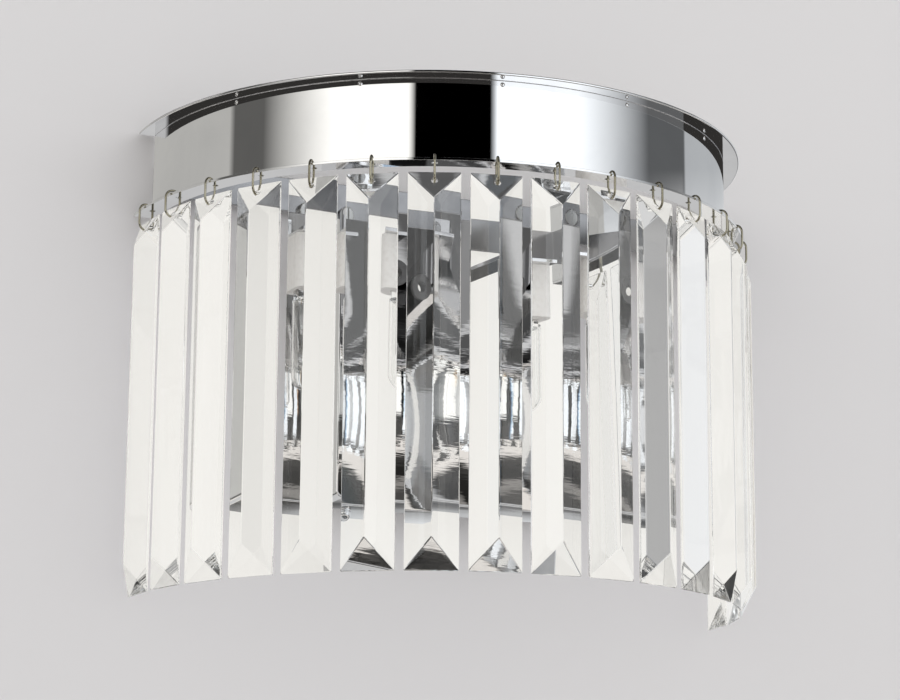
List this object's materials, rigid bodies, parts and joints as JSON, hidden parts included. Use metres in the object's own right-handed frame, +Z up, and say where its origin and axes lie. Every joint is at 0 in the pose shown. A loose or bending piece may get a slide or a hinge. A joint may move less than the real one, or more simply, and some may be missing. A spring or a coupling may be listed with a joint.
{
  "type": "crystal wall sconce",
  "caption": "Half-round chrome wall sconce, open above and below, with a skirt of hanging crystal prisms on wire rings round two capsule lamps.",
  "frame": {"origin": "on the wall plane, midway between the two slots of the wall bracket", "axes": "+Z up, +X to the right as seen from the room, +Y into the wall, so the sconce faces -Y"},
  "size_m": [0.2642, 0.1327, 0.1895],
  "materials": {
    "chrome_drum": "polished",
    "chrome_trim": "polished",
    "mirror_chrome": "mirror",
    "chrome_screw": "polished",
    "nickel_wire": "bright wire",
    "crystal": "polished crystal",
    "zinc_steel": "zinc plated",
    "screw_steel": "bright",
    "socket_ceramic": "matte",
    "lamp_glass": "clear",
    "lamp_pin": "drawn",
    "terminal_plastic": "moulded",
    "earth_brass": "bright",
    "grommet_rubber": "matte"
  },
  "bodies": {
    "lamp_frame": {"wall_bracket": "zinc_steel", "rear_strap": "chrome_trim", "strap_screws": "screw_steel", "back_plate": "mirror_chrome", "plate_screws": "chrome_screw", "drum_band": "chrome_drum", "top_flange": "chrome_drum", "bottom_lip": "chrome_drum", "weld_dots": "chrome_drum", "lamp_bracket_left": "chrome_trim", "lamp_bracket_right": "chrome_trim", "lamp_bracket_screws": "screw_steel", "lamp_bracket_nuts": "screw_steel", "socket_left": "socket_ceramic", "socket_right": "socket_ceramic", "socket_screws": "screw_steel", "bulb_left": "lamp_glass", "bulb_right": "lamp_glass", "bulb_pins": "lamp_pin", "terminal_block": "terminal_plastic", "terminal_screws": "screw_steel", "earth_screw": "earth_brass", "lead_grommets": "grommet_rubber"},
    "pendant_01": {"ring_01": "nickel_wire", "prism_01": "crystal"},
    "pendant_02": {"ring_02": "nickel_wire", "prism_02": "crystal"},
    "pendant_03": {"ring_03": "nickel_wire", "prism_03": "crystal"},
    "pendant_04": {"ring_04": "nickel_wire", "prism_04": "crystal"},
    "pendant_05": {"ring_05": "nickel_wire", "prism_05": "crystal"},
    "pendant_06": {"ring_06": "nickel_wire", "prism_06": "crystal"},
    "pendant_07": {"ring_07": "nickel_wire", "prism_07": "crystal"},
    "pendant_08": {"ring_08": "nickel_wire", "prism_08": "crystal"},
    "pendant_09": {"ring_09": "nickel_wire", "prism_09": "crystal"},
    "pendant_10": {"ring_10": "nickel_wire", "prism_10": "crystal"},
    "pendant_11": {"ring_11": "nickel_wire", "prism_11": "crystal"},
    "pendant_12": {"ring_12": "nickel_wire", "prism_12": "crystal"},
    "pendant_13": {"ring_13": "nickel_wire", "prism_13": "crystal"},
    "pendant_14": {"ring_14": "nickel_wire", "prism_14": "crystal"},
    "pendant_15": {"ring_15": "nickel_wire", "prism_15": "crystal"},
    "pendant_16": {"ring_16": "nickel_wire", "prism_16": "crystal"},
    "pendant_17": {"ring_17": "nickel_wire", "prism_17": "crystal"}
  },
  "joints": [
    {"name": "pendant_swing_01", "type": "hinge", "parent": "lamp_frame", "child": "pendant_01", "pos_m": [-0.12745, -0.01181, 0.05183], "axis": [-0.0923, 0.9957, 0], "range_deg": [-4, 45]},
    {"name": "pendant_swing_02", "type": "hinge", "parent": "lamp_frame", "child": "pendant_02", "pos_m": [-0.12311, -0.03503, 0.05183], "axis": [-0.2737, 0.9618, 0], "range_deg": [-4, 45]},
    {"name": "pendant_swing_03", "type": "hinge", "parent": "lamp_frame", "child": "pendant_03", "pos_m": [-0.11458, -0.05705, 0.05183], "axis": [-0.4457, 0.8952, 0], "range_deg": [-4, 45]},
    {"name": "pendant_swing_04", "type": "hinge", "parent": "lamp_frame", "child": "pendant_04", "pos_m": [-0.10215, -0.07714, 0.05183], "axis": [-0.6026, 0.798, 0], "range_deg": [-4, 45]},
    {"name": "pendant_swing_05", "type": "hinge", "parent": "lamp_frame", "child": "pendant_05", "pos_m": [-0.08623, -0.09459, 0.05183], "axis": [-0.739, 0.6737, 0], "range_deg": [-4, 45]},
    {"name": "pendant_swing_06", "type": "hinge", "parent": "lamp_frame", "child": "pendant_06", "pos_m": [-0.06738, -0.10883, 0.05183], "axis": [-0.8502, 0.5264, 0], "range_deg": [-4, 45]},
    {"name": "pendant_swing_07", "type": "hinge", "parent": "lamp_frame", "child": "pendant_07", "pos_m": [-0.04624, -0.11936, 0.05183], "axis": [-0.9325, 0.3612, 0], "range_deg": [-4, 45]},
    {"name": "pendant_swing_08", "type": "hinge", "parent": "lamp_frame", "child": "pendant_08", "pos_m": [-0.02352, -0.12582, 0.05183], "axis": [-0.983, 0.1837, 0], "range_deg": [-4, 45]},
    {"name": "pendant_swing_09", "type": "hinge", "parent": "lamp_frame", "child": "pendant_09", "pos_m": [0, -0.128, 0.05183], "axis": [-1, 0, 0], "range_deg": [-4, 45]},
    {"name": "pendant_swing_10", "type": "hinge", "parent": "lamp_frame", "child": "pendant_10", "pos_m": [0.02352, -0.12582, 0.05183], "axis": [-0.983, -0.1837, 0], "range_deg": [-4, 45]},
    {"name": "pendant_swing_11", "type": "hinge", "parent": "lamp_frame", "child": "pendant_11", "pos_m": [0.04624, -0.11936, 0.05183], "axis": [-0.9325, -0.3612, 0], "range_deg": [-4, 45]},
    {"name": "pendant_swing_12", "type": "hinge", "parent": "lamp_frame", "child": "pendant_12", "pos_m": [0.06738, -0.10883, 0.05183], "axis": [-0.8502, -0.5264, 0], "range_deg": [-4, 45]},
    {"name": "pendant_swing_13", "type": "hinge", "parent": "lamp_frame", "child": "pendant_13", "pos_m": [0.08623, -0.09459, 0.05183], "axis": [-0.739, -0.6737, 0], "range_deg": [-4, 45]},
    {"name": "pendant_swing_14", "type": "hinge", "parent": "lamp_frame", "child": "pendant_14", "pos_m": [0.10215, -0.07714, 0.05183], "axis": [-0.6026, -0.798, 0], "range_deg": [-4, 45]},
    {"name": "pendant_swing_15", "type": "hinge", "parent": "lamp_frame", "child": "pendant_15", "pos_m": [0.11458, -0.05705, 0.05183], "axis": [-0.4457, -0.8952, 0], "range_deg": [-4, 45]},
    {"name": "pendant_swing_16", "type": "hinge", "parent": "lamp_frame", "child": "pendant_16", "pos_m": [0.12311, -0.03503, 0.05183], "axis": [-0.2737, -0.9618, 0], "range_deg": [-4, 45]},
    {"name": "pendant_swing_17", "type": "hinge", "parent": "lamp_frame", "child": "pendant_17", "pos_m": [0.12745, -0.01181, 0.05183], "axis": [-0.0923, -0.9957, 0], "range_deg": [-4, 45]}
  ]
}
